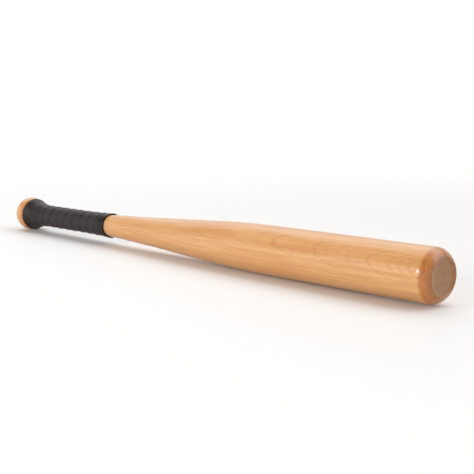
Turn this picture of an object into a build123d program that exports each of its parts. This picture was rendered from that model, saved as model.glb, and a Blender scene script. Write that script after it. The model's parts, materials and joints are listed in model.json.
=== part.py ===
"""A wooden baseball bat with a wound grip, lying at rest on a flat floor.

Units are millimetres. +Z is up and the floor is Z = 0. The bat lies along X, with its knob at -X and
its barrel end at +X, and the origin is on the floor under its middle. It rests on the knob and on the
barrel, so its axis rises very slightly towards the barrel.

Every piece is round about the bat's axis. Each outline is drawn in a plane that holds the axis: x is
the distance along the axis from the knob's end face, and y is the radius there.
"""

from build123d import *
import math
import os

# ---- driving dimensions ------------------------------------------------------------------------

BAT_LENGTH = 838.0  # a 33 inch bat

KNOB_RADIUS = 26.4
KNOB_FACE_RADIUS = 18.5  # the flat middle of the knob's end face
KNOB_MIDDLE = 8.0  # where the knob is widest

HANDLE_RADIUS = 15.0  # the bare wood at its thinnest, under the grip
HANDLE_THIN_START = 72.0  # the handle is at its thinnest between these two
HANDLE_THIN_END = 140.0

TAPER_END = 623.0  # where the taper has run out into the barrel
BARREL_RADIUS = 32.2
SHOULDER_LENGTH = 15.0  # the rounding from the barrel to its end

RIM_RADIUS = 23.2  # the flat ring that the bat stands on when it is set on its barrel end
RIM_WIDTH = 0.8
DISH_DEPTH = 2.2  # the shallow dish turned in the barrel's end
DISH_WALL = 6.0  # how far in from the rim the dish's curved wall reaches

GRIP_START = 22.0  # the grip begins on the back of the knob
GRIP_START_WOOD_RADIUS = 23.7
GRIP_END = 236.0
GRIP_END_WOOD_RADIUS = 16.6

UNDERLAY_THICKNESS = 0.3
WRAP_THICKNESS = 1.9
SQUEEZED_WRAP_THICKNESS = 1.3  # under the finishing tape
TAPE_LENGTH = 15.0
TAPE_LIP = 1.5  # how far the tape reaches past the wrap's end, down on the wood
TAPE_EDGE_ROUNDING = 0.5

# Slopes of the wood's outline, radius over length, where its curves meet.
KNOB_BACK_SLOPE = -0.5
TAPER_START_SLOPE = 0.042

# The taper is one Bezier curve. Its two handles are these shares of its length.
TAPER_START_HANDLE_SHARE = 0.67
TAPER_END_HANDLE_SHARE = 0.44

# ---- values that follow from them --------------------------------------------------------------

SHOULDER_START = BAT_LENGTH - SHOULDER_LENGTH
DISH_FLOOR = BAT_LENGTH - DISH_DEPTH
DISH_RADIUS = RIM_RADIUS - RIM_WIDTH
DISH_FLOOR_RADIUS = DISH_RADIUS - DISH_WALL

TAPE_START = GRIP_END - TAPE_LENGTH
WRAP_END = GRIP_END - TAPE_LIP
GRIP_THICKNESS = UNDERLAY_THICKNESS + WRAP_THICKNESS
SQUEEZED_THICKNESS = UNDERLAY_THICKNESS + SQUEEZED_WRAP_THICKNESS

TAPER_LENGTH = TAPER_END - GRIP_END
TAPER_START_HANDLE = TAPER_START_HANDLE_SHARE * TAPER_LENGTH
TAPER_END_HANDLE = TAPER_END_HANDLE_SHARE * TAPER_LENGTH


def over_cone(along, height):
    """The point at a height over the wood, on the plain cone that the finishing tape covers."""
    wood_radius = GRIP_END_WOOD_RADIUS + TAPER_START_SLOPE * (along - GRIP_END)
    return (along, wood_radius + height)


def handle_curve(height):
    """The handle's outline from GRIP_START to TAPE_START, raised by a height over the wood."""
    return Spline(
        (GRIP_START, GRIP_START_WOOD_RADIUS + height),
        (HANDLE_THIN_START, HANDLE_RADIUS + height),
        (HANDLE_THIN_END, HANDLE_RADIUS + height),
        over_cone(TAPE_START, height),
        tangents=((1, KNOB_BACK_SLOPE), (1, 0), (1, 0), (1, TAPER_START_SLOPE)),
    )


def wood_outline():
    """The wood's outline, from the middle of the knob's end face to the middle of the dish."""
    Line((0, 0), (0, KNOB_FACE_RADIUS))
    EllipticalCenterArc(
        (KNOB_MIDDLE, KNOB_FACE_RADIUS),
        x_radius=KNOB_MIDDLE,
        y_radius=KNOB_RADIUS - KNOB_FACE_RADIUS,
        start_angle=90,
        arc_size=90,
    )
    Spline(
        (KNOB_MIDDLE, KNOB_RADIUS),
        (GRIP_START, GRIP_START_WOOD_RADIUS),
        tangents=((1, 0), (1, KNOB_BACK_SLOPE)),
    )
    handle_curve(height=0)
    Line(over_cone(TAPE_START, 0), over_cone(GRIP_END, 0))
    Bezier(
        over_cone(GRIP_END, 0),
        over_cone(GRIP_END + TAPER_START_HANDLE, 0),
        (TAPER_END - TAPER_END_HANDLE, BARREL_RADIUS),
        (TAPER_END, BARREL_RADIUS),
    )
    Line((TAPER_END, BARREL_RADIUS), (SHOULDER_START, BARREL_RADIUS))
    TangentArc((SHOULDER_START, BARREL_RADIUS), (BAT_LENGTH, RIM_RADIUS), tangent=(1, 0))
    Line((BAT_LENGTH, RIM_RADIUS), (BAT_LENGTH, DISH_RADIUS))
    EllipticalCenterArc(
        (BAT_LENGTH, DISH_FLOOR_RADIUS),
        x_radius=DISH_DEPTH,
        y_radius=DISH_WALL,
        start_angle=90,
        arc_size=90,
    )
    Line((DISH_FLOOR, DISH_FLOOR_RADIUS), (DISH_FLOOR, 0))


# ---- how the bat lies --------------------------------------------------------------------------

# The floor touches the knob where it is widest, and the barrel where a line from there is steepest.
with BuildLine() as outline:
    wood_outline()

SAMPLES_PER_CURVE = 400
slopes_from_knob = []
for curve in outline.edges():
    for sample in range(SAMPLES_PER_CURVE):
        point = curve.position_at(sample / SAMPLES_PER_CURVE)
        if point.X > GRIP_END:
            slopes_from_knob.append((point.Y - KNOB_RADIUS) / (point.X - KNOB_MIDDLE))
rest_tilt = math.atan(max(slopes_from_knob))

axis_direction = Vector(math.cos(rest_tilt), 0, math.sin(rest_tilt))
knob_end_height = KNOB_RADIUS * math.cos(rest_tilt) - KNOB_MIDDLE * math.sin(rest_tilt)
knob_end = Vector(-BAT_LENGTH / 2 * math.cos(rest_tilt), 0, knob_end_height)
bat_axis = Axis(knob_end, axis_direction)
profile_plane = Plane(origin=knob_end, x_dir=axis_direction, z_dir=(0, -1, 0))


# ---- the pieces --------------------------------------------------------------------------------

# The bat itself: knob, handle, taper and barrel are one turned billet of wood.
with BuildPart() as bat_body:
    with BuildSketch(profile_plane):
        with BuildLine():
            wood_outline()
            Line((DISH_FLOOR, 0), (0, 0))
        make_face()
    revolve(axis=bat_axis)

# Double-sided tape wound on the bare handle, which holds the wrap.
with BuildPart() as grip_underlay:
    with BuildSketch(profile_plane):
        with BuildLine():
            inside = handle_curve(height=0)
            outside = handle_curve(height=UNDERLAY_THICKNESS)
            Line(inside @ 0, outside @ 0)
            Polyline(
                inside @ 1,
                over_cone(WRAP_END, 0),
                over_cone(WRAP_END, UNDERLAY_THICKNESS),
                outside @ 1,
            )
        make_face()
    revolve(axis=bat_axis)

# The wound grip strip, as one plain sleeve. It steps down where the finishing tape squeezes it.
with BuildPart() as grip_wrap:
    with BuildSketch(profile_plane):
        with BuildLine():
            inside = handle_curve(height=UNDERLAY_THICKNESS)
            outside = handle_curve(height=GRIP_THICKNESS)
            Line(inside @ 0, outside @ 0)
            Polyline(
                inside @ 1,
                over_cone(WRAP_END, UNDERLAY_THICKNESS),
                over_cone(WRAP_END, SQUEEZED_THICKNESS),
                over_cone(TAPE_START, SQUEEZED_THICKNESS),
                outside @ 1,
            )
        make_face()
    revolve(axis=bat_axis)

# The finishing tape: it goes round the end of the wrap, and its lip reaches down to the wood.
with BuildPart() as finishing_tape:
    with BuildSketch(profile_plane) as tape_section:
        with BuildLine():
            Polyline(
                over_cone(TAPE_START, SQUEEZED_THICKNESS),
                over_cone(WRAP_END, SQUEEZED_THICKNESS),
                over_cone(WRAP_END, 0),
                over_cone(GRIP_END, 0),
                over_cone(GRIP_END, GRIP_THICKNESS),
                over_cone(TAPE_START, GRIP_THICKNESS),
                close=True,
            )
        make_face()
        outer_corner = tape_section.vertices().group_by(Axis.X)[-1].sort_by(Axis.Y)[-1]
        fillet(outer_corner, radius=TAPE_EDGE_ROUNDING)
    revolve(axis=bat_axis)

# ---- files -------------------------------------------------------------------------------------

bat_body.part.label = "bat_body"
grip_underlay.part.label = "grip_underlay"
grip_wrap.part.label = "grip_wrap"
finishing_tape.part.label = "finishing_tape"

os.makedirs("parts", exist_ok=True)
export_step(bat_body.part, "parts/bat_body.step")
export_step(grip_underlay.part, "parts/grip_underlay.step")
export_step(grip_wrap.part, "parts/grip_wrap.step")
export_step(finishing_tape.part, "parts/finishing_tape.step")

print(f"rest tilt {math.degrees(rest_tilt):.3f} degrees, knob end at height {knob_end_height:.2f} mm")
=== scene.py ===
"""The looks of a wooden baseball bat: lacquered wood, a wound grip, and the tape that finishes the grip.

Lengths are in metres. The bat lies along X with its knob at -X, on a floor at Z = 0, and its axis rises
a little towards its barrel. Places on the bat are given as a distance along its axis from the knob's
end, a distance out from the axis, and an angle about it: 0 faces +Y, 90 degrees up and 180 degrees -Y.
"""

import json
import math

import bpy
import numpy as np
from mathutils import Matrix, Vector, noise
from mathutils.bvhtree import BVHTree


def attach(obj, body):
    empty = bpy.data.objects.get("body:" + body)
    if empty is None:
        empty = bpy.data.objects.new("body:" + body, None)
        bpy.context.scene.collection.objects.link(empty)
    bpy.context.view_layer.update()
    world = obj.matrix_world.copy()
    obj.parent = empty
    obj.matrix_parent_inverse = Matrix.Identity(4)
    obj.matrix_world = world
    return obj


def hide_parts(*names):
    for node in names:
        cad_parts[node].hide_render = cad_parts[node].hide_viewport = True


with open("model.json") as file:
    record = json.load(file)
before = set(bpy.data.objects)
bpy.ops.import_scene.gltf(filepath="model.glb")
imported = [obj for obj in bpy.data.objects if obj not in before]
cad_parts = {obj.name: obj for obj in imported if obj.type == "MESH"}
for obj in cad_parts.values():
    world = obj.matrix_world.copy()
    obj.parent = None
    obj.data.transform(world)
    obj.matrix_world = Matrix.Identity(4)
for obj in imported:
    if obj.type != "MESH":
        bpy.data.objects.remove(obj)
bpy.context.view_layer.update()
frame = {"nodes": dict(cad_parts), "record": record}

MM = 0.001
FULL_TURN = 2 * math.pi

# ---- the bat's axis, from the record -----------------------------------------------------------

mounts = {mount["name"]: mount for mount in frame["record"]["mounts"]}
knob_end = Vector(mounts["knob_end_face"]["pos_m"])
along_bat = Vector(mounts["barrel_end_rim"]["axis"]).normalized()
to_the_side = Vector((0, 1, 0))
above_bat = along_bat.cross(to_the_side)


def on_bat(along, radius, angle):
    """The point at that distance along the bat, distance from its axis, and angle about it."""
    outward = math.cos(angle) * to_the_side + math.sin(angle) * above_bat
    return knob_end + along * along_bat + radius * outward


def reach_of(node):
    """The least and greatest distance along the bat that a CAD node reaches."""
    places = [(corner.co - knob_end).dot(along_bat) for corner in frame["nodes"][node].data.vertices]
    return min(places), max(places)


# ---- the CAD pieces' outlines, read with rays --------------------------------------------------

EDGE = 0.2 * MM  # the outlines are read this far inside the pieces' ends
READINGS = 160
RAY_START = 100 * MM  # from the axis, well outside the bat
RAY_ANGLE = math.radians(40)  # clear of the surfaces' seams


def outline_of(node, start, end):
    """A function from the distance along the bat to a CAD node's outer radius, between start and end."""
    tree = BVHTree.FromObject(frame["nodes"][node], bpy.context.evaluated_depsgraph_get())
    places = np.linspace(start, end, READINGS).tolist()
    radii = []
    for along in places:
        outside = on_bat(along, RAY_START, RAY_ANGLE)
        middle = on_bat(along, 0, 0)
        hit, _, _, _ = tree.ray_cast(outside, (middle - outside).normalized())
        radii.append((hit - middle).length)
    return lambda along: float(np.interp(along, places, radii))


bat_length = reach_of("bat_body")[1]
grip_start, grip_end = reach_of("grip_wrap")
tape_start, tape_end = reach_of("finishing_tape")
wood_radius = outline_of("bat_body", grip_start, tape_end)
underlay_radius = outline_of("grip_underlay", grip_start + EDGE, grip_end - EDGE)
tape_radius = outline_of("finishing_tape", tape_start + EDGE, tape_end - EDGE)


# ---- meshes ------------------------------------------------------------------------------------


def smooth_step(value, start, end):
    """0 before start, 1 after end, and a smooth rise between them. It falls if end is before start."""
    share = min(max((value - start) / (end - start), 0), 1)
    return share * share * (3 - 2 * share)


def mesh_of_rings(name, rings, closed):
    """A mesh through rings of points. It joins its last ring to its first if closed, or caps both."""
    around = len(rings[0])
    corners = [point for ring in rings for point in ring]
    faces = []
    for index in range(len(rings) if closed else len(rings) - 1):
        here = index * around
        there = (index + 1) % len(rings) * around
        for step in range(around):
            after = (step + 1) % around
            faces.append((here + step, here + after, there + after, there + step))
    if not closed:
        faces.append(tuple(reversed(range(around))))
        faces.append(tuple(range(len(corners) - around, len(corners))))
    mesh = bpy.data.meshes.new(name)
    mesh.from_pydata(corners, [], faces)
    mesh.update()
    mesh.shade_smooth()
    piece = bpy.data.objects.new(name, mesh)
    bpy.context.scene.collection.objects.link(piece)
    return piece


# ---- the grip: one long strip wound over itself ------------------------------------------------

STRIP_WIDTH = 26 * MM
STRIP_THICKNESS = 1.55 * MM
STRIP_PITCH = 20.5 * MM  # how far it moves along the bat in one turn
OVERLAP = STRIP_WIDTH - STRIP_PITCH
SKIVED_WIDTH = 5 * MM  # its two edges are thinned over this width
SKIVED_SHARE = 0.3  # of the thickness, left at the very edge
EDGE_ROUNDING = 0.45 * MM
BRIDGE_WIDTH = 3.5 * MM  # where the strip comes down from the turn below it
TIP_WIDTH = 0.6 * MM  # the strip is cut to a point at both ends
LEAST_THICKNESS = 0.06 * MM
GLUE_GAP = 0.03 * MM  # between the underlay and the strip

STEPS_PER_TURN = 90
STEPS_ACROSS = 34
FIRST_ANGLE = math.radians(250)  # the strip's tip is under the bat

# The finishing tape squeezes the strip, from a little before the place where the tape begins.
SQUEEZED_HEIGHT = 1.22 * MM
FREE_HEIGHT = 1.45 * STRIP_THICKNESS  # about where two thinned edges lap
SQUEEZE_BEGINS = tape_start - 2.5 * MM
SQUEEZE_IS_FULL = tape_start - 0.3 * MM

# Slow waves and fine ripples keep the strip's top from being perfectly even.
WAVE_HEIGHT = 0.13 * MM
WAVES_PER_METRE = 120
RIPPLE_HEIGHT = 0.07 * MM
RIPPLES_PER_METRE = 320
WAVES_DIE_DOWN = tape_start - 6 * MM
WAVES_END = tape_start - 1 * MM
CALM_WIDTH = 2 * MM  # the waves are lower this near to the strip's two edges
CALM_SHARE = 0.35  # of their height, at the very edge
LEAST_WAVED_THICKNESS = 0.3 * MM  # a thinner edge isn't waved, so it can't fold through itself


def strip_thickness(across):
    """The strip's own thickness, at a distance from the edge on the knob's side."""
    from_edge = min(across, STRIP_WIDTH - across)
    if from_edge < 0:
        return 0
    skived = SKIVED_SHARE + (1 - SKIVED_SHARE) * smooth_step(from_edge, 0, SKIVED_WIDTH)
    rounding = min(from_edge / EDGE_ROUNDING, 1)
    return STRIP_THICKNESS * skived * math.sqrt(rounding * (2 - rounding))


def strip_lift(across):
    """How far the turn below lifts the strip, at a distance from the edge on the knob's side."""
    if across <= OVERLAP:
        return strip_thickness(min(across + STRIP_PITCH, STRIP_WIDTH - EDGE_ROUNDING))
    edge_height = strip_thickness(STRIP_WIDTH - EDGE_ROUNDING)
    return edge_height * smooth_step(across, OVERLAP + BRIDGE_WIDTH, OVERLAP)


def squeeze_at(along):
    """The share of its free height that the strip keeps there."""
    squeezed = smooth_step(along, SQUEEZE_BEGINS, SQUEEZE_IS_FULL)
    return 1 - squeezed * (1 - SQUEEZED_HEIGHT / FREE_HEIGHT)


def waves_at(place, along, across):
    """How far the strip's top stands out of true at a place on it."""
    waves = WAVE_HEIGHT * noise.noise(place * WAVES_PER_METRE)
    waves += RIPPLE_HEIGHT * noise.noise(place * RIPPLES_PER_METRE)
    looseness = smooth_step(along, WAVES_END, WAVES_DIE_DOWN)
    from_edge = min(across, STRIP_WIDTH - across)
    return waves * looseness * min(1, from_edge / CALM_WIDTH + CALM_SHARE)


def strip_section(knob_edge, first, last, turned):
    """The strip's outline across its width, from first to last, after it has turned that far."""
    angle = FIRST_ANGLE - turned
    top = []
    bottom = []
    for step in range(STEPS_ACROSS):
        # The steps are closer together near the two edges.
        share = 0.5 - 0.5 * math.cos(math.pi * step / (STEPS_ACROSS - 1))
        across = first + share * (last - first)
        along = knob_edge + across
        thickness = strip_thickness(across)
        if first > 0:
            thickness *= smooth_step(across - first, -EDGE_ROUNDING, EDGE_ROUNDING)
        lift = strip_lift(across) if turned > FULL_TURN else 0
        low = lift * squeeze_at(along)
        high = (lift + max(thickness, LEAST_THICKNESS)) * squeeze_at(along)
        radius = underlay_radius(along) + GLUE_GAP
        waves = 0
        if high > low + LEAST_WAVED_THICKNESS:
            waves = waves_at(on_bat(along, radius, angle), along, across)
        top.append(on_bat(along, radius + high + waves, angle))
        bottom.append(on_bat(along, radius + low, angle))
    return top + bottom[::-1]


def wound_strip():
    """The wound strip, its length along its middle line, and its flat area."""
    turns = (grip_end - grip_start + STRIP_WIDTH) / STRIP_PITCH
    step_angle = FULL_TURN / STEPS_PER_TURN
    rings = []
    length = 0
    area = 0
    for index in range(int(turns * STEPS_PER_TURN)):
        turned = index * step_angle
        knob_edge = grip_start - STRIP_WIDTH + TIP_WIDTH + STRIP_PITCH * turned / FULL_TURN
        # The grip ends square to the bat at both ends, so the strip narrows to a point there.
        first = max(0, grip_start + EDGE - knob_edge)
        last = min(STRIP_WIDTH, grip_end - EDGE - knob_edge)
        if last - first < TIP_WIDTH / 2:
            continue
        rings.append(strip_section(knob_edge, first, last, turned))
        middle_radius = underlay_radius(knob_edge + (first + last) / 2) + STRIP_THICKNESS / 2
        step_length = step_angle * middle_radius
        length += math.hypot(step_length, STRIP_PITCH / STEPS_PER_TURN)
        area += step_length * (last - first)
    return mesh_of_rings("grip_strip", rings, closed=False), length, area


grip_strip, strip_length, strip_area = wound_strip()
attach(grip_strip, "root")
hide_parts("grip_wrap")
print(f"grip strip: {STRIP_WIDTH / MM:.0f} mm wide, {strip_length:.3f} m long, {strip_area:.4f} m2")


# ---- the finishing tape: a few turns of thin vinyl over the strip's end ------------------------

TAPE_LAYERS = 3
TAPE_INSIDE = 1.62 * MM  # the lowest turn's height over the wood, where it lies on the strip
TAPE_STEPS_AROUND = 240
TAPE_READING = tape_start + 4 * MM  # the tape's full height is read here, clear of its edges
TAPE_ROUNDING = 0.55 * MM
TAPE_RIPPLE_HEIGHT = 0.05 * MM
TAPE_RIPPLES_PER_METRE = 260

# Each turn starts a little further from the knob than the one below it, at an edge that wanders.
LAYER_STAGGER = 0.7 * MM
UPPER_LAYERS_SETBACK = 0.3 * MM
LAYER_STEP = 0.18 * MM  # a layer's edge rises to its full height over this length
WANDER = 0.25 * MM
WANDER_SCALE = 1.3
WANDER_SLICE = 7  # where in the noise the layers' wandering edges are cut from

# The last turn ends over the top of the bat, slightly slanted. The tape is thinner just past that end,
# and grows back to its full height between the last two of these angles past it.
TAPE_END_ANGLE = math.radians(75)
TAPE_END_SLANT = math.radians(5)
TAPE_END_DROP = 0.8  # of a layer
TAPE_END_STEP = math.radians(1.5)
TAPE_GROWS_FROM = math.radians(40)
TAPE_GROWS_TO = math.radians(200)

# The tape's lip comes down over the strip's end, onto the wood.
LIP_MIDDLE = 1.1 * MM
LIP_GAP = 0.02 * MM
LIP_INSIDE = grip_end + 0.3 * MM

tape_height = tape_radius(TAPE_READING) - wood_radius(TAPE_READING)
layer_height = (tape_height - TAPE_INSIDE) / TAPE_LAYERS


def layer_rise(turn, along, angle):
    """How much of its full height a layer of the tape has there, from 0 to 1."""
    layer_start = tape_start + turn * LAYER_STAGGER
    if turn > 0:
        slice_of_noise = Vector((math.cos(angle), math.sin(angle), WANDER_SLICE + turn))
        layer_start += UPPER_LAYERS_SETBACK + WANDER * noise.noise(slice_of_noise * WANDER_SCALE)
    rise = smooth_step(along, layer_start, layer_start + LAYER_STEP)
    if turn == TAPE_LAYERS - 1:
        slant = TAPE_END_SLANT * (along - tape_start) / (tape_end - tape_start)
        past_end = (angle - TAPE_END_ANGLE - slant) % FULL_TURN
        drop = smooth_step(past_end, 0, TAPE_END_STEP) * smooth_step(past_end, TAPE_GROWS_TO, TAPE_GROWS_FROM)
        rise *= 1 - TAPE_END_DROP * drop
    return rise


def tape_top(along, angle):
    """The tape's outer surface there."""
    height = TAPE_INSIDE + layer_height * sum(layer_rise(turn, along, angle) for turn in range(TAPE_LAYERS))
    into_rounding = TAPE_ROUNDING - (tape_end - along)
    if into_rounding > 0:
        height -= TAPE_ROUNDING - math.sqrt(TAPE_ROUNDING**2 - into_rounding**2)
    surface = on_bat(along, wood_radius(along), angle)
    height += TAPE_RIPPLE_HEIGHT * noise.noise(surface * TAPE_RIPPLES_PER_METRE)
    return on_bat(along, wood_radius(along) + height, angle)


def tape_inside(angle):
    """The tape's lip and its inner surface, from its end back to its start."""
    return [
        on_bat(tape_end, wood_radius(tape_end) + tape_height - TAPE_ROUNDING, angle),
        on_bat(tape_end, wood_radius(tape_end) + LIP_MIDDLE, angle),
        on_bat(tape_end, wood_radius(tape_end) + LIP_GAP, angle),
        on_bat(LIP_INSIDE, wood_radius(tape_end) + LIP_GAP, angle),
        on_bat(LIP_INSIDE, wood_radius(grip_end) + TAPE_INSIDE, angle),
        on_bat(tape_start, wood_radius(tape_start) + TAPE_INSIDE, angle),
    ]


def finishing_tape_piece():
    steps_along = int((tape_end - tape_start) / EDGE)
    rings = []
    for index in range(TAPE_STEPS_AROUND):
        angle = FULL_TURN * index / TAPE_STEPS_AROUND
        outer = [tape_top(tape_start + EDGE * step, angle) for step in range(steps_along)]
        rings.append(outer + tape_inside(angle))
    return mesh_of_rings("tape_turns", rings, closed=True)


tape_turns = finishing_tape_piece()
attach(tape_turns, "root")
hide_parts("finishing_tape")


# ---- materials ---------------------------------------------------------------------------------


class Graph:
    """A shader's node tree. Its inputs may be numbers, colours or other nodes' outputs."""

    def __init__(self, owner, shader_kind, output_kind):
        owner.use_nodes = True
        self.owner = owner
        self.nodes = owner.node_tree.nodes
        self.links = owner.node_tree.links
        self.nodes.clear()
        self.shader = self.nodes.new(shader_kind)
        output = self.nodes.new(output_kind)
        self.links.new(self.shader.outputs[0], output.inputs["Surface"])

    def feed(self, socket, value):
        if isinstance(value, bpy.types.NodeSocket):
            self.links.new(value, socket)
        else:
            socket.default_value = value

    def surface(self, **inputs):
        """Sets the shader's inputs, named with _ for each space."""
        for name, value in inputs.items():
            self.feed(self.shader.inputs[name.replace("_", " ")], value)

    def place(self):
        return self.nodes.new("ShaderNodeTexCoord").outputs["Object"]

    def direction(self):
        """In a world's tree, the direction that is looked in."""
        return self.nodes.new("ShaderNodeTexCoord").outputs["Generated"]

    def normal(self):
        return self.nodes.new("ShaderNodeNewGeometry").outputs["Normal"]

    def math(self, operation, *values):
        node = self.nodes.new("ShaderNodeMath")
        node.operation = operation
        for socket, value in zip(node.inputs, values):
            self.feed(socket, value)
        return node.outputs["Value"]

    def dot(self, vector, direction):
        node = self.nodes.new("ShaderNodeVectorMath")
        node.operation = "DOT_PRODUCT"
        self.feed(node.inputs[0], vector)
        self.feed(node.inputs[1], direction)
        return node.outputs["Value"]

    def away_from(self, vector, point):
        node = self.nodes.new("ShaderNodeVectorMath")
        node.operation = "SUBTRACT"
        self.feed(node.inputs[0], vector)
        self.feed(node.inputs[1], point)
        return node.outputs["Vector"]

    def vector(self, x, y, z):
        node = self.nodes.new("ShaderNodeCombineXYZ")
        for socket, value in zip(node.inputs, (x, y, z)):
            self.feed(socket, value)
        return node.outputs["Vector"]

    def noise(self, vector, scale, detail=2, roughness=0.5):
        node = self.nodes.new("ShaderNodeTexNoise")
        self.feed(node.inputs["Vector"], vector)
        node.inputs["Scale"].default_value = scale
        node.inputs["Detail"].default_value = detail
        node.inputs["Roughness"].default_value = roughness
        return node.outputs["Fac"]

    def cells(self, vector, scale, feature="F1"):
        node = self.nodes.new("ShaderNodeTexVoronoi")
        node.feature = feature
        self.feed(node.inputs["Vector"], vector)
        node.inputs["Scale"].default_value = scale
        return node.outputs["Distance"]

    def chance(self, number):
        """A random value from 0 to 1, the same each time for the same number."""
        node = self.nodes.new("ShaderNodeTexWhiteNoise")
        node.noise_dimensions = "1D"
        self.feed(node.inputs["W"], number)
        return node.outputs["Value"]

    def between(self, value, low, high, result_low=0, result_high=1):
        """Moves the value's range low..high smoothly to result_low..result_high."""
        node = self.nodes.new("ShaderNodeMapRange")
        node.interpolation_type = "SMOOTHSTEP"
        for socket, number in zip(node.inputs, (value, low, high, result_low, result_high)):
            self.feed(socket, number)
        return node.outputs["Result"]

    def blend(self, share, first, second, kind="MIX"):
        node = self.nodes.new("ShaderNodeMix")
        node.data_type = "RGBA"
        node.blend_type = kind
        self.feed(node.inputs["Factor"], share)
        self.feed(node.inputs["A"], first)
        self.feed(node.inputs["B"], second)
        return node.outputs["Result"]

    def cover(self, under, over, pattern, low, high, most=1):
        """Lays a colour over another: none of it where the pattern is low, and most where it is high."""
        return self.blend(self.between(pattern, low, high, 0, most), under, over)

    def relief(self, *parts):
        """A height for the bump: the sum of some patterns, each times its share."""
        height = 0
        for pattern, share in parts:
            height = self.math("MULTIPLY_ADD", pattern, share, height)
        return height

    def bump(self, height, distance, strength=1):
        node = self.nodes.new("ShaderNodeBump")
        node.inputs["Strength"].default_value = strength
        node.inputs["Distance"].default_value = distance
        self.feed(node.inputs["Height"], height)
        return node.outputs["Normal"]


def material_graph(name):
    return Graph(bpy.data.materials.new(name), "ShaderNodeBsdfPrincipled", "ShaderNodeOutputMaterial")


def colour(red, green, blue):
    """A colour from its 0 to 255 screen values, as the shader's linear values."""

    def linear(value):
        share = value / 255
        return share / 12.92 if share <= 0.04045 else ((share + 0.055) / 1.055) ** 2.4

    return (linear(red), linear(green), linear(blue), 1)


WHITE = (1, 1, 1, 1)
MOST_NOISE = (0.3, 0.7)  # nearly all of a noise's values are between these

# ---- wood: one solid pattern, so the rings run through the side and the end grain alike --------

# The tree's pith ran beside the bat, behind and below it. It came nearest to the bat in the taper and
# moved away towards both ends, so the rings make long straight lines there and closed arcs on the barrel.
PITH_DISTANCE = 62 * MM
PITH_BEND_PLACE = 545 * MM
PITH_BEND_LENGTH = 60 * MM
PITH_SLOPE_TO_KNOB = 0.052
PITH_SLOPE_TO_END = 0.078
PITH_DRIFT_PLACE = 650 * MM
PITH_DRIFT_SLOPE = 0.155
ARC_TIP_ANGLE = math.radians(141)  # the arcs' tips face this way on the barrel
RING_WIDTH = 1.6 * MM

# The rings aren't perfect circles. Each wave has a height and a number of waves per metre.
RING_WAVES = ((3.2 * MM, 38), (0.7 * MM, 190))
WAVE_STRETCH = 0.09

# Each ring darkens slowly to a line of late wood and ends sharply. These are shares of the ring.
LATE_WOOD_BEGINS = 0.45
LATE_WOOD_IS_DARKEST = 0.88
LATE_WOOD_FADES = 0.94
WEAKEST_YEAR = 0.25  # some years' lines are stronger than others'

HONEY = colour(207, 149, 87)
PALE_HONEY = colour(222, 171, 115)
GOLD = colour(215, 163, 104)
BROWN_STREAK = colour(201, 142, 84)
LATE_WOOD = colour(183, 118, 62)
LATE_END_GRAIN = colour(150, 88, 40)
FIBRE = colour(187, 126, 70)
PORE = colour(150, 92, 46)

# How strongly the darker colours are laid on, from 0 to 1.
RING_STRENGTH = 0.38
END_RING_STRENGTH = 0.55
PORE_STRENGTH = 0.3

# End grain soaks up more stain than the side does. The flat of the barrel's end is darker and greyer still:
# partly its stain, partly painted shade for the end that faces away from the light.
SHOULDER_STAIN = colour(222, 190, 150)
END_STAIN_AND_SHADE = colour(174, 158, 124)


def ring_radius(graph, from_knob, along, wave_place):
    """The distance from the tree's pith, with the rings' waves in it."""
    tip = math.cos(ARC_TIP_ANGLE) * to_the_side + math.sin(ARC_TIP_ANGLE) * above_bat
    sideways = math.sin(ARC_TIP_ANGLE) * to_the_side - math.cos(ARC_TIP_ANGLE) * above_bat

    def past(start):
        """0 well before the place where it starts, and the distance past it well after, smoothly."""
        distance = graph.math("SUBTRACT", along, start)
        square = graph.math("MULTIPLY", distance, distance)
        root = graph.math("SQRT", graph.math("ADD", square, PITH_BEND_LENGTH**2))
        return graph.math("MULTIPLY", graph.math("ADD", distance, root), 0.5)

    to_end = past(PITH_BEND_PLACE)
    to_knob = graph.math("SUBTRACT", to_end, graph.math("SUBTRACT", along, PITH_BEND_PLACE))
    to_pith = graph.math("MULTIPLY_ADD", to_end, PITH_SLOPE_TO_END, PITH_DISTANCE)
    to_pith = graph.math("MULTIPLY_ADD", to_knob, PITH_SLOPE_TO_KNOB, to_pith)
    drift = graph.math("MULTIPLY", past(PITH_DRIFT_PLACE), PITH_DRIFT_SLOPE)

    toward = graph.math("ADD", graph.dot(from_knob, tip), to_pith)
    aside = graph.math("SUBTRACT", graph.dot(from_knob, sideways), drift)
    squares = [graph.math("MULTIPLY", distance, distance) for distance in (toward, aside)]
    radius = graph.math("SQRT", graph.math("ADD", *squares))
    for wave_height, waves_per_metre in RING_WAVES:
        wave = graph.math("SUBTRACT", graph.noise(wave_place, waves_per_metre), 0.5)
        radius = graph.math("MULTIPLY_ADD", wave, wave_height, radius)
    return radius


def late_wood_lines(graph, radius):
    """How strong the dark line of a growth ring is, from 0 to 1, at a distance from the pith."""
    rings = graph.math("DIVIDE", radius, RING_WIDTH)
    in_ring = graph.math("FRACT", rings)
    late_wood = graph.math(
        "MULTIPLY",
        graph.between(in_ring, LATE_WOOD_BEGINS, LATE_WOOD_IS_DARKEST),
        graph.between(in_ring, 1.0, LATE_WOOD_FADES),
    )
    year = graph.chance(graph.math("FLOOR", rings))
    return graph.math("MULTIPLY", late_wood, graph.between(year, 0.1, 1.0, WEAKEST_YEAR, 1.0))


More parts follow.
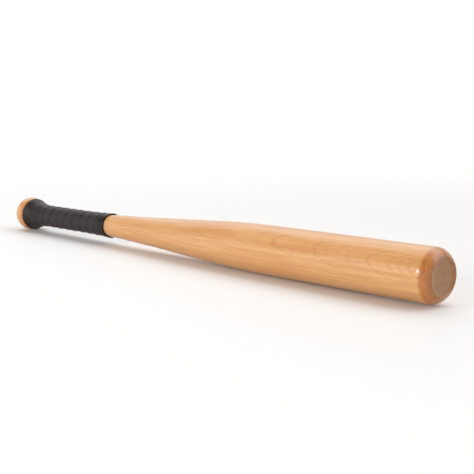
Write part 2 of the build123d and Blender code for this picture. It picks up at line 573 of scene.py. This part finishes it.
def wood_material():
    graph = material_graph("lacquered_wood")
    from_knob = graph.away_from(graph.place(), knob_end)
    along = graph.dot(from_knob, along_bat)
    across = graph.dot(from_knob, to_the_side)
    above = graph.dot(from_knob, above_bat)

    def drawn_out(stretch):
        """The place in the wood, for a pattern that is drawn out along the grain."""
        return graph.vector(graph.math("MULTIPLY", along, stretch), across, above)

    # Fibres and pores are drawn out along the grain, and show as dots on the end grain.
    ring_line = late_wood_lines(graph, ring_radius(graph, from_knob, along, drawn_out(WAVE_STRETCH)))
    fibres = graph.noise(drawn_out(0.02), scale=1500, detail=3, roughness=0.6)
    streaks = graph.noise(drawn_out(0.03), scale=330, detail=3, roughness=0.55)
    bands = graph.noise(drawn_out(0.05), scale=95)
    clouds = graph.noise(drawn_out(0.35), scale=34, detail=3)
    pore_patches = graph.between(graph.noise(drawn_out(WAVE_STRETCH), scale=420), 0.45, 0.62)
    pores = graph.between(graph.cells(drawn_out(WAVE_STRETCH), scale=1900), 0.16, 0.3, 1, 0)
    pores = graph.math("MULTIPLY", pores, pore_patches)

    facing_end = graph.math("ABSOLUTE", graph.dot(graph.normal(), along_bat))
    end_grain = graph.between(facing_end, 0.03, 0.38)

    wood = graph.cover(HONEY, PALE_HONEY, bands, low=0.36, high=0.64)
    wood = graph.cover(wood, GOLD, clouds, low=0.35, high=0.65, most=0.5)
    wood = graph.cover(wood, BROWN_STREAK, streaks, low=0.35, high=0.75, most=0.8)
    late_wood = graph.blend(end_grain, LATE_WOOD, LATE_END_GRAIN)
    ring_strength = graph.between(end_grain, 0, 1, RING_STRENGTH, END_RING_STRENGTH)
    wood = graph.blend(graph.math("MULTIPLY", ring_line, ring_strength), wood, late_wood)
    wood = graph.cover(wood, FIBRE, fibres, low=0.3, high=0.75, most=0.2)
    wood = graph.blend(graph.math("MULTIPLY", pores, PORE_STRENGTH), wood, PORE)
    # The flat end's colour here is partly stain and partly painted shade.
    stain_and_end_shade = graph.cover(SHOULDER_STAIN, END_STAIN_AND_SHADE, facing_end, low=0.6, high=0.98)
    stained_and_shaded = graph.blend(1.0, wood, stain_and_end_shade, "MULTIPLY")

    relief = graph.relief((fibres, 0.4), (ring_line, -0.35), (pores, -0.5))
    graph.surface(
        Base_Color=graph.blend(end_grain, wood, stained_and_shaded),
        Roughness=graph.between(clouds, *MOST_NOISE, 0.36, 0.46),
        Normal=graph.bump(relief, distance=0.05 * MM, strength=0.5),
        Coat_Weight=0.8,
        Coat_Roughness=0.17,
        Coat_IOR=1.45,
        Specular_IOR_Level=0.35,
    )
    return graph.owner


# ---- the grip's materials ----------------------------------------------------------------------

CLOTH = colour(196, 190, 172)
PALE_CLOTH = colour(222, 217, 200)
LEATHER = colour(34, 27, 26)
PALE_LEATHER = colour(45, 36, 36)
PEBBLE_CREASE_SHADE = colour(24, 19, 19)
WORN_LEATHER = colour(56, 46, 48)
LEATHER_GLINT = (1.0, 0.88, 0.94, 1)
VINYL = colour(9, 9, 11)
PALE_VINYL = colour(16, 15, 18)


def cloth_tape_material():
    graph = material_graph("cloth_tape")
    place = graph.place()
    weave = graph.noise(place, scale=2400)
    patches = graph.noise(place, scale=150, detail=3)
    graph.surface(
        Base_Color=graph.blend(patches, CLOTH, PALE_CLOTH),
        Roughness=graph.between(weave, *MOST_NOISE, 0.75, 0.95),
        Normal=graph.bump(weave, distance=0.06 * MM),
    )
    return graph.owner


def grip_material():
    graph = material_graph("black_grip_leather")
    place = graph.place()
    pebbles = graph.cells(place, scale=950)
    creases = graph.cells(place, scale=420, feature="SMOOTH_F1")
    fine = graph.noise(place, scale=3200)
    patches = graph.noise(place, scale=130, detail=3)
    leather = graph.blend(patches, LEATHER, PALE_LEATHER)
    # Darker towards the creases between the pebbles: painted shade.
    leather = graph.cover(leather, PEBBLE_CREASE_SHADE, pebbles, low=0.25, high=0.6, most=0.5)
    leather = graph.cover(leather, WORN_LEATHER, patches, low=0.5, high=0.72, most=0.3)
    relief = graph.relief((pebbles, -0.9), (fine, 0.25), (creases, -0.8))
    graph.surface(
        Base_Color=leather,
        Roughness=graph.between(patches, *MOST_NOISE, 0.52, 0.42),
        Normal=graph.bump(relief, distance=0.12 * MM, strength=0.7),
        Specular_IOR_Level=0.25,
        Specular_Tint=LEATHER_GLINT,
        Sheen_Weight=0.05,
        Sheen_Roughness=0.5,
    )
    return graph.owner


def tape_material():
    graph = material_graph("black_vinyl_tape")
    from_knob = graph.away_from(graph.place(), knob_end)
    along = graph.dot(from_knob, along_bat)
    stretch_lines = graph.noise(graph.vector(along, 0, 0), scale=2600)
    peel = graph.noise(from_knob, scale=1300)
    patches = graph.noise(from_knob, scale=260)
    graph.surface(
        Base_Color=graph.blend(patches, VINYL, PALE_VINYL),
        Roughness=graph.between(patches, *MOST_NOISE, 0.24, 0.34),
        Normal=graph.bump(graph.relief((peel, 0.6), (stretch_lines, 0.4)), distance=0.04 * MM, strength=0.6),
        Specular_IOR_Level=0.2,
    )
    return graph.owner


def dress(piece, material):
    piece.data.materials.clear()
    piece.data.materials.append(material)


dress(frame["nodes"]["bat_body"], wood_material())
dress(frame["nodes"]["grip_underlay"], cloth_tape_material())
dress(grip_strip, grip_material())
dress(tape_turns, tape_material())


# ---- the camera --------------------------------------------------------------------------------

CAMERA_AZIMUTH = math.radians(46.54)
CAMERA_ELEVATION = math.radians(8.78)
CAMERA_DISTANCE = 1.318
AIM_SHARE = 0.610  # of the bat's length, from the knob
AIM_HEIGHT = 10.8 * MM  # over the bat's axis
CAMERA_LENS = 75.95  # millimetres
CAMERA_SENSOR = 36  # millimetres

aim = knob_end + AIM_SHARE * bat_length * along_bat + Vector((0, 0, AIM_HEIGHT))
to_camera = Vector(
    (
        math.sin(CAMERA_AZIMUTH) * math.cos(CAMERA_ELEVATION),
        -math.cos(CAMERA_AZIMUTH) * math.cos(CAMERA_ELEVATION),
        math.sin(CAMERA_ELEVATION),
    )
)


def make_camera():
    data = bpy.data.cameras.new("camera")
    data.lens = CAMERA_LENS
    data.sensor_width = CAMERA_SENSOR
    camera = bpy.data.objects.new("camera", data)
    camera.location = aim + CAMERA_DISTANCE * to_camera
    camera.rotation_euler = (-to_camera).to_track_quat("-Z", "Y").to_euler()
    bpy.context.scene.collection.objects.link(camera)
    bpy.context.scene.camera = camera


# ---- the floor ---------------------------------------------------------------------------------

FLOOR_WIDTH = 60.0
PAPER = colour(231, 230, 228)
PAPER_FADES = 0.3  # it turns white between these two distances, before the bat and behind it
PAPER_IS_WHITE = 2.5


def pale_floor():
    half = FLOOR_WIDTH / 2
    corners = [(-half, -half, 0), (half, -half, 0), (half, half, 0), (-half, half, 0)]
    mesh = bpy.data.meshes.new("floor")
    mesh.from_pydata(corners, [], [(0, 1, 2, 3)])
    floor = bpy.data.objects.new("floor", mesh)
    bpy.context.scene.collection.objects.link(floor)

    graph = material_graph("pale_floor")
    from_bat = graph.math("ABSOLUTE", graph.dot(graph.place(), to_camera))
    paper = graph.blend(graph.between(from_bat, PAPER_FADES, PAPER_IS_WHITE), PAPER, WHITE)
    graph.surface(Base_Color=paper, Roughness=0.55, Specular_IOR_Level=0.3)
    dress(floor, graph.owner)


# ---- the light ---------------------------------------------------------------------------------

SOFTBOX_SIZE = 0.6
SOFTBOX_POWER = 23

# The studio's brightness, by direction. A level's sine is the height of a direction of length 1.
WALL_BEHIND_BAT = 1.06
WALL_BEHIND_CAMERA = 1.3
WALL_TURN = (-0.3, 0.6)  # how far a direction leans to the camera, from the first wall to the second
WALL_TOP = (0.15, 0.42)  # the sines between which the walls give way to the ceiling
CEILING = 0.46
CEILING_TINT = (1, 0.9, 0.85, 1)  # warm, and it lights the shadows

# The window's angles are measured about the bat's direction, up from the floor on the bat's +Y side.
WINDOW_TINT = (1, 1.07, 1.11, 1)  # cool where the ceiling is warm, so that the open floor is neutral
WINDOW_BY_KNOB = 1.1
WINDOW_BY_BARREL = 2.4
WINDOW_TURN = (-0.8, 0.6)  # how far a direction leans along the bat, from the first to the second
WINDOW_SILL = (math.radians(26), math.radians(50))
WINDOW_HEAD = (math.radians(70), math.radians(100))
WINDOW_END = (0.7, 0.97)  # how far along the bat the direction leans at the window's two ends


def from_view(right, away, up):
    """A direction given as the camera sees it: to its right, away from it over the floor, and up."""
    ahead = Vector((-to_camera.x, -to_camera.y, 0)).normalized()
    to_right = Vector((ahead.y, -ahead.x, 0))
    return right * to_right + away * ahead + Vector((0, 0, up))


def softbox():
    """A lamp to the left of the camera. Its reflection is the small bright spot on the shoulder."""
    place = from_view(right=-1.93, away=-1.1, up=0.72)
    data = bpy.data.lights.new("softbox", "AREA")
    data.shape = "DISK"
    data.size = SOFTBOX_SIZE
    data.energy = SOFTBOX_POWER
    lamp = bpy.data.objects.new("softbox", data)
    lamp.location = aim + place
    lamp.rotation_euler = (-place).to_track_quat("-Z", "Y").to_euler()
    bpy.context.scene.collection.objects.link(lamp)


def make_world():
    """A white studio: bright low walls, a dimmer ceiling, and a long window high on the bat's far side."""
    world = bpy.data.worlds.new("studio")
    graph = Graph(world, "ShaderNodeBackground", "ShaderNodeOutputWorld")
    direction = graph.direction()
    height = graph.dot(direction, Vector((0, 0, 1)))

    facing_camera = graph.dot(direction, Vector((to_camera.x, to_camera.y, 0)).normalized())
    wall = graph.between(facing_camera, *WALL_TURN, WALL_BEHIND_BAT, WALL_BEHIND_CAMERA)
    room = graph.between(height, *WALL_TOP, wall, CEILING)
    room_tint = graph.blend(graph.between(height, *WALL_TOP), WHITE, CEILING_TINT)

    leaning_along = graph.dot(direction, along_bat)
    window_angle = graph.math("ARCTAN2", height, graph.dot(direction, to_the_side))
    window = graph.between(leaning_along, *WINDOW_TURN, WINDOW_BY_KNOB, WINDOW_BY_BARREL)
    for share in (
        graph.between(window_angle, *WINDOW_SILL),
        graph.between(window_angle, *WINDOW_HEAD, 1, 0),
        graph.between(graph.math("ABSOLUTE", leaning_along), *WINDOW_END, 1, 0),
    ):
        window = graph.math("MULTIPLY", window, share)

    room_light = graph.blend(1.0, room_tint, room, "MULTIPLY")
    window_light = graph.blend(1.0, WINDOW_TINT, window, "MULTIPLY")
    graph.surface(Color=graph.blend(1.0, room_light, window_light, "ADD"))
    bpy.context.scene.world = world
    bpy.context.scene.view_settings.view_transform = "Standard"


pale_floor()
make_camera()
make_world()
softbox()
